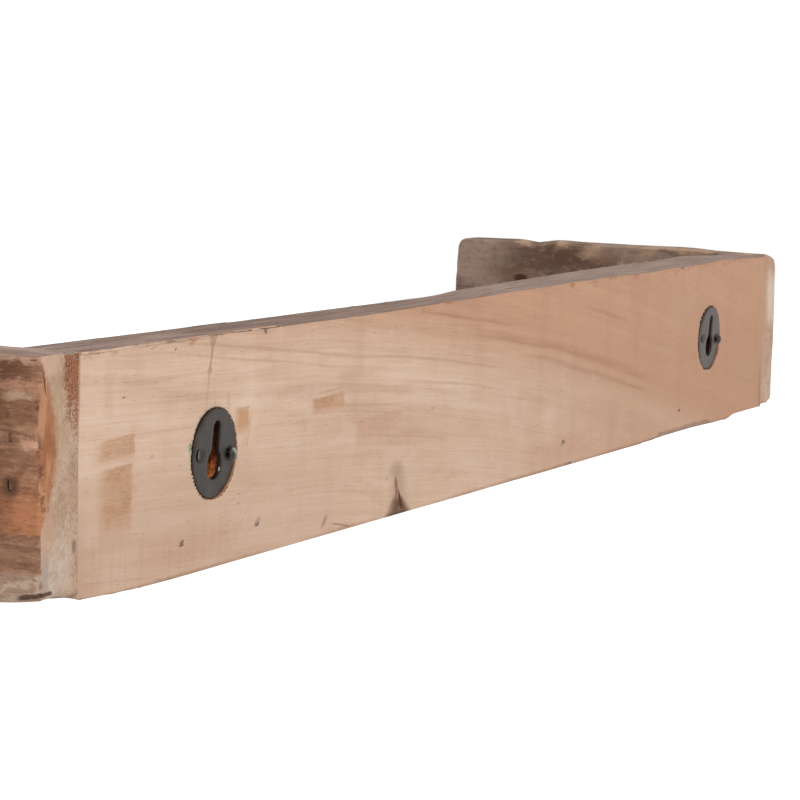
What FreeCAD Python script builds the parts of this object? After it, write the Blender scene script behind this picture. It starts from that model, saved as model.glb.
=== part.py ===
import FreeCAD, Part
import math
import os

# Floating wall shelf of reclaimed timber: a planed back rail between two side boards, with a
# bottom board in front of the rail. Two round keyhole plates, sunk in the rail, hang it on screws.
# Frame: +Z up, +Y to the wall, the wall plane at Y = 0, X along the shelf, origin at the middle
# of the rail's rear face. Lengths are millimetres.

# Driving dimensions of the carcass
LENGTH = 800.0
DEPTH = 202.0
RAIL_HEIGHT = 91.0
RAIL_THICKNESS = 25.4
LEFT_THICKNESS = 20.5
RIGHT_THICKNESS = 24.5
SHELF_THICKNESS = 22.0
SHELF_SETBACK = 3.0

# Worn edges of the rail
RAIL_TOP_SAG = 1.5
RAIL_RIGHT_RISE = 2.6
RAIL_RIGHT_RISE_RUN = 66.0
RAIL_LEFT_RISE = 2.0
RAIL_LEFT_FLAT_RUN = 44.0
RAIL_LEFT_STEP_RUN = 18.0
RAIL_ARRIS = 1.2
WANE_CENTRE_FROM_LEFT = 150.0
WANE_CHORD = 120.0
WANE_DEPTH = 2.2
WANE_TILT = 35.0

# Worn edges of the side boards
LEFT_REAR_PROUD = 1.4
LEFT_FRONT_PROUD = 3.0
RIGHT_REAR_PROUD = 0.4
RIGHT_FRONT_PROUD = 2.0
TOP_CORNER_RADIUS = 9.0
BOTTOM_CORNER_RADIUS = 5.0
LEFT_HEEL_RISE = 2.0
LEFT_HEEL_RUN = 30.0
RIGHT_HEEL_RISE = 3.7
RIGHT_HEEL_RUN = 46.0
SIDE_ARRIS = 1.8
SIDE_INNER_BEVEL = 1.0
NOTCH_FROM_FRONT = 58.0
NOTCH_CHORD = 26.0
NOTCH_DEPTH = 2.0
NOTCH_TILT = 25.0
FACET_RISE = 58.0
FACET_CHORD = 54.0
FACET_DEPTH = 2.4
FACET_TILT = 72.0
SHELF_FRONT_ARRIS = 2.5

# Keyhole plates and the recesses that take them
PLATE_DIAMETER = 35.0
PLATE_THICKNESS = 2.0
PLATE_EDGE_BEVEL = 0.4
PLATE_CLEARANCE = 0.5
PLATE_SUNK = 1.2
LEFT_PLATE_FROM_END = 112.8
LEFT_PLATE_RISE = 48.6
RIGHT_PLATE_FROM_END = 123.0
RIGHT_PLATE_RISE = 44.0
ENTRY_DIAMETER = 12.0
ENTRY_DROP = 4.1
SLOT_WIDTH = 6.0
SLOT_RUN = 14.05
SHOULDER_RADIUS = 3.0
POCKET_MARGIN = 1.0
POCKET_DEPTH = 11.0

# Plate tacks, with square shanks, and their countersinks
TACK_EDGE = 4.85
TACK_HEAD = 5.0
TACK_SHANK = 1.6
TACK_LENGTH = 16.0
TACK_CROWN = 1.3
TACK_HOLE = 2.5
COUNTERSINK_DIAMETER = 6.2
COUNTERSINK_DEPTH = 1.2

# Finishing brads of the carcass: flat wire with a wider head and a chisel point
BRAD_WIDTH = 1.6
BRAD_THICKNESS = 1.4
BRAD_LENGTH = 50.0
BRAD_HEAD_WIDTH = 2.9
BRAD_HEAD_HEIGHT = 0.9
BRAD_SINK = 1.2
POINT_LENGTH = 3.0
NAIL_CLEARANCE = 0.05
NAIL_END_GAP = 0.4
RIGHT_RAIL_NAIL_RISES = (44.7, 62.0)
LEFT_RAIL_NAIL_RISES = (34.0, 60.0)
BACK_NAIL_RISE = 11.7
BACK_NAILS_FROM_RIGHT = (98.5, 157.9)
BACK_NAILS_FROM_LEFT = (159.0, 324.7)
SHELF_NAIL_COUNT = 3
SHELF_NAIL_MARGIN = 32.0

# Planes that the pieces share
BASE_Z = -RAIL_HEIGHT / 2
TOP_Z = RAIL_HEIGHT / 2
LEFT_OUTER_X = -LENGTH / 2
RIGHT_OUTER_X = LENGTH / 2
LEFT_JOINT_X = LEFT_OUTER_X + LEFT_THICKNESS
RIGHT_JOINT_X = RIGHT_OUTER_X - RIGHT_THICKNESS
RAIL_FRONT_Y = -RAIL_THICKNESS
SHELF_FRONT_Y = SHELF_SETBACK - DEPTH
PLATE_FACE_Y = -PLATE_SUNK
PLATE_BACK_Y = PLATE_FACE_Y - PLATE_THICKNESS
POCKET_FLOOR_Y = PLATE_BACK_Y - POCKET_DEPTH
SHELF_MID_Z = BASE_Z + SHELF_THICKNESS / 2

X_AXIS = FreeCAD.Vector(1, 0, 0)
Y_AXIS = FreeCAD.Vector(0, 1, 0)
Z_AXIS = FreeCAD.Vector(0, 0, 1)


def vec(x, y, z):
    return FreeCAD.Vector(x, y, z)


def line(start, end):
    return Part.LineSegment(start, end).toShape()


def arc(start, through, end):
    return Part.Arc(start, through, end).toShape()


def prism(edges, along):
    return Part.Face(Part.Wire(edges)).extrude(along)


def outline(points):
    """Straight edges round a closed list of points."""
    return [line(start, end) for start, end in zip(points, points[1:] + points[:1])]


def lathe(edges, place, direction):
    """Revolve a half outline drawn in the XZ plane about Z, then set Z along direction at place."""
    solid = Part.Face(Part.Wire(edges)).revolve(vec(0, 0, 0), Z_AXIS, 360)
    solid.Placement = FreeCAD.Placement(place, FreeCAD.Rotation(Z_AXIS, direction))
    return solid


def worn(shape, arris_point, along, inward, chord, depth):
    """Scoop a lens-shaped facet out of an arris: chord long, depth deep at its middle."""
    radius = (chord * chord / 4 + depth * depth) / (2 * depth)
    inward = inward.normalize()
    axis = along.cross(inward)
    reach = 2 * chord
    centre = arris_point + inward * (depth - radius) - axis * reach
    return shape.cut(Part.makeCylinder(radius, 2 * reach, centre, axis))


def round_arrises(shape, radius, chosen):
    edges = [edge for edge in shape.Edges if chosen(edge.BoundBox)]
    return shape.makeFillet(radius, edges)


def on_plane(low, high, plane):
    return abs(low - plane) < 0.01 and abs(high - plane) < 0.01


# Finishing brads: each is cut from flat wire, so its outline is extruded by the wire's thickness
def flat_wire(points, thickness, place, drive, across):
    """Extrude (across, depth) points, thickness wide, with depth along drive from place."""
    third = drive.cross(across)
    start = place - third * (thickness / 2)
    corners = [start + across * side + drive * depth for side, depth in points]
    return prism(outline(corners), third * thickness)


def brad(place, drive, across):
    shank = BRAD_WIDTH / 2
    head = BRAD_HEAD_WIDTH / 2
    neck = BRAD_SINK + BRAD_HEAD_HEIGHT
    tip = BRAD_SINK + BRAD_LENGTH
    points = [
        (-head, BRAD_SINK), (head, BRAD_SINK), (head, neck), (shank, neck),
        (shank, tip - POINT_LENGTH), (0, tip), (-shank, tip - POINT_LENGTH),
        (-shank, neck), (-head, neck),
    ]
    return flat_wire(points, BRAD_THICKNESS, place, drive, across)


def brad_hole(place, drive, across):
    shank = BRAD_WIDTH / 2 + NAIL_CLEARANCE
    head = BRAD_HEAD_WIDTH / 2 + NAIL_CLEARANCE
    neck = BRAD_SINK + BRAD_HEAD_HEIGHT
    floor = BRAD_SINK + BRAD_LENGTH + NAIL_END_GAP
    points = [
        (-head, -BRAD_SINK), (head, -BRAD_SINK), (head, neck), (shank, neck),
        (shank, floor), (-shank, floor), (-shank, neck), (-head, neck),
    ]
    return flat_wire(points, BRAD_THICKNESS + 2 * NAIL_CLEARANCE, place, drive, across)


def spread(low, high, count):
    step = (high - low) / (count - 1)
    return [low + step * index for index in range(count)]


rail_nail_y = RAIL_FRONT_Y / 2
back_nail_xs = [RIGHT_OUTER_X - run for run in BACK_NAILS_FROM_RIGHT]
back_nail_xs += [LEFT_OUTER_X + run for run in BACK_NAILS_FROM_LEFT]
shelf_nail_ys = spread(SHELF_FRONT_Y + SHELF_NAIL_MARGIN, RAIL_FRONT_Y - SHELF_NAIL_MARGIN, SHELF_NAIL_COUNT)
nail_groups = {
    "left_rail_nails": [
        (vec(LEFT_OUTER_X, rail_nail_y, BASE_Z + rise), X_AXIS, Z_AXIS) for rise in LEFT_RAIL_NAIL_RISES
    ],
    "right_rail_nails": [
        (vec(RIGHT_OUTER_X, rail_nail_y, BASE_Z + rise), -X_AXIS, Z_AXIS) for rise in RIGHT_RAIL_NAIL_RISES
    ],
    "left_shelf_nails": [(vec(LEFT_OUTER_X, y, SHELF_MID_Z), X_AXIS, Y_AXIS) for y in shelf_nail_ys],
    "right_shelf_nails": [(vec(RIGHT_OUTER_X, y, SHELF_MID_Z), -X_AXIS, Y_AXIS) for y in shelf_nail_ys],
    "back_nails": [(vec(x, 0, BASE_Z + BACK_NAIL_RISE), -Y_AXIS, X_AXIS) for x in back_nail_xs],
}


def drill(shape, *groups):
    places = [place for group in groups for place in nail_groups[group]]
    return shape.cut([brad_hole(*place) for place in places])


# Keyhole plates: a disc with an entry hole and a slot above it, and two countersunk nail holes
def keyhole_outline(y):
    """Edges of the keyhole about the plate's centre: entry hole, rounded shoulders, slot."""
    entry = ENTRY_DIAMETER / 2
    half = SLOT_WIDTH / 2
    slot_z = SLOT_RUN - ENTRY_DROP
    shoulder_x = half + SHOULDER_RADIUS
    shoulder_z = math.sqrt((entry + SHOULDER_RADIUS) ** 2 - shoulder_x ** 2) - ENTRY_DROP
    share = entry / (entry + SHOULDER_RADIUS)
    touch_x = shoulder_x * share
    touch_z = (shoulder_z + ENTRY_DROP) * share - ENTRY_DROP
    lean = math.atan2(touch_z - shoulder_z, touch_x - shoulder_x)
    mid_angle = (lean - math.pi) / 2
    mid_x = shoulder_x + SHOULDER_RADIUS * math.cos(mid_angle)
    mid_z = shoulder_z + SHOULDER_RADIUS * math.sin(mid_angle)
    return [
        arc(vec(touch_x, y, touch_z), vec(0, y, -ENTRY_DROP - entry), vec(-touch_x, y, touch_z)),
        arc(vec(-touch_x, y, touch_z), vec(-mid_x, y, mid_z), vec(-half, y, shoulder_z)),
        line(vec(-half, y, shoulder_z), vec(-half, y, slot_z)),
        arc(vec(-half, y, slot_z), vec(0, y, slot_z + half), vec(half, y, slot_z)),
        line(vec(half, y, slot_z), vec(half, y, shoulder_z)),
        arc(vec(half, y, shoulder_z), vec(mid_x, y, mid_z), vec(touch_x, y, touch_z)),
    ]


def tack_places(centre):
    offset = PLATE_DIAMETER / 2 - TACK_EDGE
    face = centre + vec(0, PLATE_FACE_Y, 0)
    return face + X_AXIS * offset, face - X_AXIS * offset


def tack(place, crown):
    """A tack whose coned head seats in the countersink; crown is how far its top swells above the rim."""
    slope = (COUNTERSINK_DIAMETER - TACK_HOLE) / 2 / COUNTERSINK_DEPTH
    head = TACK_HEAD / 2
    throat = TACK_HOLE / 2 - NAIL_CLEARANCE
    rim = (COUNTERSINK_DIAMETER / 2 - NAIL_CLEARANCE - head) / slope
    neck = rim + (head - throat) / slope
    top = vec(0, 0, rim - crown)
    edge = vec(head, 0, rim)
    if crown:
        ball = (head * head + crown * crown) / (2 * crown)
        half_turn = math.asin(head / ball) / 2
        crest_mid = vec(ball * math.sin(half_turn), 0, rim - crown + ball * (1 - math.cos(half_turn)))
        crest = arc(top, crest_mid, edge)
    else:
        crest = line(top, edge)
    low_edge = vec(throat, 0, neck)
    low_mid = vec(0, 0, neck)
    cap = lathe([crest, line(edge, low_edge), line(low_edge, low_mid), line(low_mid, top)], place, -Y_AXIS)
    shank = TACK_SHANK / 2
    point = TACK_LENGTH - POINT_LENGTH
    points = [(-shank, rim), (shank, rim), (shank, point), (0, TACK_LENGTH), (-shank, point)]
    wire = flat_wire(points, TACK_SHANK, place, -Y_AXIS, X_AXIS)
    pyramid = wire.common(flat_wire(points, TACK_SHANK, place, -Y_AXIS, Z_AXIS))
    return cap.fuse(pyramid).removeSplitter()


def countersunk_hole(place):
    throat = TACK_HOLE / 2
    rim = COUNTERSINK_DIAMETER / 2
    points = [
        vec(0, 0, 0), vec(rim, 0, 0), vec(throat, 0, COUNTERSINK_DEPTH),
        vec(throat, 0, PLATE_THICKNESS), vec(0, 0, PLATE_THICKNESS),
    ]
    return lathe(outline(points), place, -Y_AXIS)


def tack_pilot(place):
    half = TACK_SHANK / 2 + NAIL_CLEARANCE
    floor = TACK_LENGTH + NAIL_END_GAP
    points = [(-half, 0), (half, 0), (half, floor), (-half, floor)]
    return flat_wire(points, 2 * half, place, -Y_AXIS, X_AXIS)


def keyhole_plate(centre):
    disc = Part.makeCylinder(PLATE_DIAMETER / 2, PLATE_THICKNESS, vec(0, PLATE_FACE_Y, 0), -Y_AXIS)
    rim = [edge for edge in disc.Edges if on_plane(edge.BoundBox.YMin, edge.BoundBox.YMax, PLATE_FACE_Y)]
    disc = disc.makeChamfer(PLATE_EDGE_BEVEL, rim)
    keyhole = prism(keyhole_outline(PLATE_FACE_Y), -Y_AXIS * PLATE_THICKNESS)
    plate = disc.cut(keyhole)
    plate.translate(centre)
    return plate.cut([countersunk_hole(place) for place in tack_places(centre)])


def hanger_recess(centre):
    """Round seat for a plate, with a long pocket behind the keyhole for the screw's head."""
    seat_radius = PLATE_DIAMETER / 2 + PLATE_CLEARANCE
    seat = Part.makeCylinder(seat_radius, -PLATE_BACK_Y, centre, -Y_AXIS)
    radius = ENTRY_DIAMETER / 2 + POCKET_MARGIN
    foot = -ENTRY_DROP
    head = SLOT_RUN - ENTRY_DROP
    edges = [
        arc(vec(radius, 0, foot), vec(0, 0, foot - radius), vec(-radius, 0, foot)),
        line(vec(-radius, 0, foot), vec(-radius, 0, head)),
        arc(vec(-radius, 0, head), vec(0, 0, head + radius), vec(radius, 0, head)),
        line(vec(radius, 0, head), vec(radius, 0, foot)),
    ]
    pocket = prism(edges, Y_AXIS * POCKET_FLOOR_Y)
    pocket.translate(centre)
    return seat.fuse(pocket)


plate_centres = {
    "left": vec(LEFT_OUTER_X + LEFT_PLATE_FROM_END, 0, BASE_Z + LEFT_PLATE_RISE),
    "right": vec(RIGHT_OUTER_X - RIGHT_PLATE_FROM_END, 0, BASE_Z + RIGHT_PLATE_RISE),
}


# Back rail: planed board whose top edge sags and whose bottom edge is worn up at both ends
def back_rail():
    left_z = BASE_Z + RAIL_LEFT_RISE
    right_z = BASE_Z + RAIL_RIGHT_RISE
    step_start = LEFT_JOINT_X + RAIL_LEFT_FLAT_RUN
    step_end = step_start + RAIL_LEFT_STEP_RUN
    step_mid = vec((step_start + step_end) / 2, 0, BASE_Z + RAIL_LEFT_RISE / 2)
    quarter = RAIL_LEFT_STEP_RUN / 4
    bulge = RAIL_LEFT_RISE / 8
    rise_start = RIGHT_JOINT_X - RAIL_RIGHT_RISE_RUN
    rise_mid = vec(rise_start + RAIL_RIGHT_RISE_RUN / 2, 0, BASE_Z + RAIL_RIGHT_RISE / 4)
    edges = [
        line(vec(LEFT_JOINT_X, 0, TOP_Z), vec(LEFT_JOINT_X, 0, left_z)),
        line(vec(LEFT_JOINT_X, 0, left_z), vec(step_start, 0, left_z)),
        arc(vec(step_start, 0, left_z), vec(step_start + quarter, 0, left_z - bulge), step_mid),
        arc(step_mid, vec(step_end - quarter, 0, BASE_Z + bulge), vec(step_end, 0, BASE_Z)),
        line(vec(step_end, 0, BASE_Z), vec(rise_start, 0, BASE_Z)),
        arc(vec(rise_start, 0, BASE_Z), rise_mid, vec(RIGHT_JOINT_X, 0, right_z)),
        line(vec(RIGHT_JOINT_X, 0, right_z), vec(RIGHT_JOINT_X, 0, TOP_Z)),
        arc(
            vec(RIGHT_JOINT_X, 0, TOP_Z),
            vec((LEFT_JOINT_X + RIGHT_JOINT_X) / 2, 0, TOP_Z - RAIL_TOP_SAG),
            vec(LEFT_JOINT_X, 0, TOP_Z),
        ),
    ]
    rail = prism(edges, Y_AXIS * RAIL_FRONT_Y)
    for plane in (0, RAIL_FRONT_Y):
        rail = round_arrises(
            rail, RAIL_ARRIS, lambda box: on_plane(box.YMin, box.YMax, plane) and box.XLength > RAIL_ARRIS
        )
    tilt = math.radians(WANE_TILT)
    wane_point = vec(LEFT_OUTER_X + WANE_CENTRE_FROM_LEFT, 0, BASE_Z)
    rail = worn(rail, wane_point, X_AXIS, vec(0, -math.cos(tilt), math.sin(tilt)), WANE_CHORD, WANE_DEPTH)
    for centre in plate_centres.values():
        rail = rail.cut(hanger_recess(centre))
        rail = rail.cut([tack_pilot(place) for place in tack_places(centre)])
    return drill(rail, "left_rail_nails", "right_rail_nails", "back_nails")


# Side boards: grain runs front to back, corners at the front are worn round
def side_profile(x, rear_top_z, front_top_z, heel_rise, heel_run):
    """Edges of a side board in the plane X = x; the heel is the rear end of its bottom edge."""
    front_y = -DEPTH
    slope = (front_top_z - rear_top_z) / DEPTH
    shrink = 1 - math.sqrt(0.5)
    top_inset = TOP_CORNER_RADIUS * shrink
    low_inset = BOTTOM_CORNER_RADIUS * shrink
    rear_top = vec(x, 0, rear_top_z)
    top_start = vec(x, front_y + TOP_CORNER_RADIUS, front_top_z - slope * TOP_CORNER_RADIUS)
    top_mid = vec(x, front_y + top_inset, front_top_z - top_inset)
    top_end = vec(x, front_y, front_top_z - TOP_CORNER_RADIUS)
    low_start = vec(x, front_y, BASE_Z + BOTTOM_CORNER_RADIUS)
    low_mid = vec(x, front_y + low_inset, BASE_Z + low_inset)
    low_end = vec(x, front_y + BOTTOM_CORNER_RADIUS, BASE_Z)
    heel_start = vec(x, -heel_run, BASE_Z)
    heel_mid = vec(x, -heel_run / 2, BASE_Z + heel_rise / 4)
    heel_end = vec(x, 0, BASE_Z + heel_rise)
    return [
        line(rear_top, top_start),
        arc(top_start, top_mid, top_end),
        line(top_end, low_start),
        arc(low_start, low_mid, low_end),
        line(low_end, heel_start),
        arc(heel_start, heel_mid, heel_end),
        line(heel_end, rear_top),
    ]


def side_board(profile, outer_x, joint_x):
    """Extrude a profile drawn on the outer face to the joint, and wear all but the joint's rear arris."""
    board = prism(profile, X_AXIS * (joint_x - outer_x))
    board = round_arrises(board, SIDE_ARRIS, lambda box: on_plane(box.XMin, box.XMax, outer_x))

    def exposed(box):
        return on_plane(box.XMin, box.XMax, joint_x) and not on_plane(box.YMin, box.YMax, 0)

    return board.makeChamfer(SIDE_INNER_BEVEL, [edge for edge in board.Edges if exposed(edge.BoundBox)])


def left_side():
    rear_top_z = TOP_Z + LEFT_REAR_PROUD
    front_top_z = TOP_Z + LEFT_FRONT_PROUD
    profile = side_profile(LEFT_OUTER_X, rear_top_z, front_top_z, LEFT_HEEL_RISE, LEFT_HEEL_RUN)
    board = side_board(profile, LEFT_OUTER_X, LEFT_JOINT_X)
    notch_z = front_top_z + (rear_top_z - front_top_z) * NOTCH_FROM_FRONT / DEPTH
    tilt = math.radians(NOTCH_TILT)
    notch_point = vec(LEFT_JOINT_X, NOTCH_FROM_FRONT - DEPTH, notch_z)
    inward = vec(-math.sin(tilt), 0, -math.cos(tilt))
    board = worn(board, notch_point, Y_AXIS, inward, NOTCH_CHORD, NOTCH_DEPTH)
    return drill(board, "left_rail_nails", "left_shelf_nails")


def right_side():
    rear_top_z = TOP_Z + RIGHT_REAR_PROUD
    front_top_z = TOP_Z + RIGHT_FRONT_PROUD
    profile = side_profile(RIGHT_OUTER_X, rear_top_z, front_top_z, RIGHT_HEEL_RISE, RIGHT_HEEL_RUN)
    board = side_board(profile, RIGHT_OUTER_X, RIGHT_JOINT_X)
    tilt = math.radians(FACET_TILT)
    facet_point = vec(RIGHT_OUTER_X, 0, BASE_Z + FACET_RISE)
    inward = vec(-math.cos(tilt), -math.sin(tilt), 0)
    board = worn(board, facet_point, Z_AXIS, inward, FACET_CHORD, FACET_DEPTH)
    return drill(board, "right_rail_nails", "right_shelf_nails")


# Bottom board: fills the carcass between the sides, with its front edge worn round
def shelf_board():
    corner = vec(LEFT_JOINT_X, SHELF_FRONT_Y, BASE_Z)
    board = Part.makeBox(RIGHT_JOINT_X - LEFT_JOINT_X, RAIL_FRONT_Y - SHELF_FRONT_Y, SHELF_THICKNESS, corner)
    board = round_arrises(
        board,
        SHELF_FRONT_ARRIS,
        lambda box: on_plane(box.YMin, box.YMax, SHELF_FRONT_Y) and box.ZLength < SHELF_FRONT_ARRIS,
    )
    return drill(board, "left_shelf_nails", "right_shelf_nails", "back_nails")


pieces = {
    "back_rail": back_rail(),
    "left_side": left_side(),
    "right_side": right_side(),
    "shelf_board": shelf_board(),
}
for hand, centre in plate_centres.items():
    pieces["keyhole_plate_" + hand] = keyhole_plate(centre)
    flush_place, domed_place = tack_places(centre)
    pieces["plate_nails_" + hand] = Part.makeCompound([tack(flush_place, 0), tack(domed_place, TACK_CROWN)])
for group, places in nail_groups.items():
    pieces[group] = Part.makeCompound([brad(*place) for place in places])

os.makedirs("parts", exist_ok=True)
for node, shape in pieces.items():
    print(node, "solids", len(shape.Solids), "valid", shape.isValid(), "volume", round(shape.Volume, 1))
    shape.exportStep("parts/" + node + ".step")
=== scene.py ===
import itertools
import math

import bmesh
import bpy
import numpy as np
from mathutils import Matrix, Vector


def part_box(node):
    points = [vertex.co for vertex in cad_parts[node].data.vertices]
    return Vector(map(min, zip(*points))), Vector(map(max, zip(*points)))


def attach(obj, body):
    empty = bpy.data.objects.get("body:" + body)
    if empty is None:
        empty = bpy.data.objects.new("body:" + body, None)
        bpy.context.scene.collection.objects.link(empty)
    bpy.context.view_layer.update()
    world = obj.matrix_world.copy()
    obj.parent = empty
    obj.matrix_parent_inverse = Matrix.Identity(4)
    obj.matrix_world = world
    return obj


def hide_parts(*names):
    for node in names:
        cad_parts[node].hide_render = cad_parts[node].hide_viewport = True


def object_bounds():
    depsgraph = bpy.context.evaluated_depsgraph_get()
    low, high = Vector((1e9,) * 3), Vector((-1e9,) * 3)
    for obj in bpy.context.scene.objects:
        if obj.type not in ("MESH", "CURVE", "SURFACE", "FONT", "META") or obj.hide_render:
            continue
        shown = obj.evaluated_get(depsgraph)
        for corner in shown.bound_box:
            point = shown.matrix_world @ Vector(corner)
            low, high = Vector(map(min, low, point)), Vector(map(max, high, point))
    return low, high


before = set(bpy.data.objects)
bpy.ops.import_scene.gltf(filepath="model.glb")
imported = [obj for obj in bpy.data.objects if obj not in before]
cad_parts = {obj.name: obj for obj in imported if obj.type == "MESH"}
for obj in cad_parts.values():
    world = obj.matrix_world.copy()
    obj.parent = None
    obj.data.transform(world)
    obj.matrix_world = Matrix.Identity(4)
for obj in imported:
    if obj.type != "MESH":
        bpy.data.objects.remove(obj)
cad_low, cad_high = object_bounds()


# Back rail: one board of pale reclaimed hardwood between the two side boards, nailed through them.
# Its rear face was planed flat for the wall; its top edge and its front keep the old grey skin.
# Two round seats for the hanger plates were bored into it with a toothed cutter.
WELD = 1e-6
FLAT_ANGLE = math.radians(0.03)
CREASE = math.radians(38)


def cell_mesh(node, step, bevel=0.0):
    """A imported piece's mesh, welded, with its sharp edges bevelled, cut into cells of one step."""
    mesh = bmesh.new()
    mesh.from_mesh(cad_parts[node].data)
    bmesh.ops.remove_doubles(mesh, verts=mesh.verts, dist=WELD)
    bmesh.ops.dissolve_limit(mesh, angle_limit=FLAT_ANGLE, verts=mesh.verts, edges=mesh.edges)
    if bevel:
        sharp = [edge for edge in mesh.edges if edge.calc_face_angle(0.0) > CREASE]
        bmesh.ops.bevel(mesh, geom=sharp, offset=bevel, segments=2, profile=0.5, affect="EDGES")
    low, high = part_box(node)
    for axis in range(3):
        across = Vector([float(axis == k) for k in range(3)])
        cells = math.ceil((high[axis] - low[axis]) / step)
        for k in range(1, cells):
            everything = mesh.verts[:] + mesh.edges[:] + mesh.faces[:]
            place = low.lerp(high, k / cells)
            bmesh.ops.bisect_plane(mesh, geom=everything, dist=WELD, plane_co=place, plane_no=across)
    return mesh


def finer_cells(mesh, chosen, cuts):
    """Divide the edges whose middle is chosen."""
    edges = [edge for edge in mesh.edges if chosen((edge.verts[0].co + edge.verts[1].co) / 2)]
    bmesh.ops.subdivide_edges(mesh, edges=edges, cuts=cuts, use_grid_fill=True)


LATTICE_VALUES = 4096
LATTICE_STRIDES = (73, 179, 283)


def lattice_noise(points, cell, seed):
    """Smooth noise from -1 to 1 at points, over a lattice whose cells have the given three sizes."""
    values = np.random.default_rng(seed).uniform(-1, 1, LATTICE_VALUES)
    place = points / np.array(cell)
    corner = np.floor(place).astype(int)
    part = place - corner
    part = part * part * (3 - 2 * part)
    total = np.zeros(len(points))
    for step in itertools.product((0, 1), repeat=3):
        key = (corner + step) @ np.array(LATTICE_STRIDES) % LATTICE_VALUES
        total += values[key] * np.prod(np.where(step, part, 1 - part), axis=1)
    return total


def ease(values, low, high):
    """0 below low, 1 above high and smooth between, for an array."""
    part = np.clip((values - low) / (high - low), 0, 1)
    return part * part * (3 - 2 * part)


CHIP_CELL = (0.022, 0.022, 0.022)
CRUMB_CELL = (0.007, 0.007, 0.007)
CRUMB_SHARE = 0.7
CHIPPED_SHARE = 0.25
DEEPEST_CHIP = 1.4
FLAT_LEAN = 0.97
FLAT_FADE = 0.2


def wear(mesh, keep, shape, seed, chip, wave, wave_cell, ridge, ridge_cell):
    """Move a board's points by slow waves, by ridges along its grain and by chips out of its arrises.
    keep(points, normals) is 0 at seats and in holes and 1 elsewhere; shape then moves single places."""
    mesh.normal_update()
    points = np.array([vertex.co for vertex in mesh.verts])
    normals = np.array([vertex.normal for vertex in mesh.verts])
    oblique = np.clip((FLAT_LEAN - np.abs(normals).max(axis=1)) / FLAT_FADE, 0, 1)
    waves = lattice_noise(points, wave_cell, seed) * wave
    ridges = lattice_noise(points, ridge_cell, seed + 1) * ridge
    chips = lattice_noise(points, CHIP_CELL, seed + 2)
    chips = chips + CRUMB_SHARE * lattice_noise(points, CRUMB_CELL, seed + 3)
    chips = np.clip(chips + CHIPPED_SHARE, 0, DEEPEST_CHIP) * chip * oblique
    moved = points + normals * ((waves + ridges - chips) * keep(points, normals))[:, None]
    for vertex, place in zip(mesh.verts, shape(moved, normals)):
        vertex.co = place


def piece(name, mesh, finish, node):
    """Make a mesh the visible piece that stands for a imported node."""
    many_sided = [face for face in mesh.faces if len(face.verts) > 4]
    bmesh.ops.triangulate(mesh, faces=many_sided)
    data = bpy.data.meshes.new(name)
    mesh.to_mesh(data)
    mesh.free()
    data.materials.clear()
    data.materials.append(finish)
    data.shade_smooth()
    data.set_sharp_from_angle(angle=CREASE)
    made = bpy.data.objects.new(name, data)
    bpy.context.scene.collection.objects.link(made)
    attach(made, "root")
    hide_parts(node)


def shade(red, green, blue):
    """A colour written as a screen colour from 0 to 255, as linear light."""
    linear = []
    for level in (red, green, blue):
        part = level / 255
        linear.append(part / 12.92 if part <= 0.04045 else ((part + 0.055) / 1.055) ** 2.4)
    return (*linear, 1.0)


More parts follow.
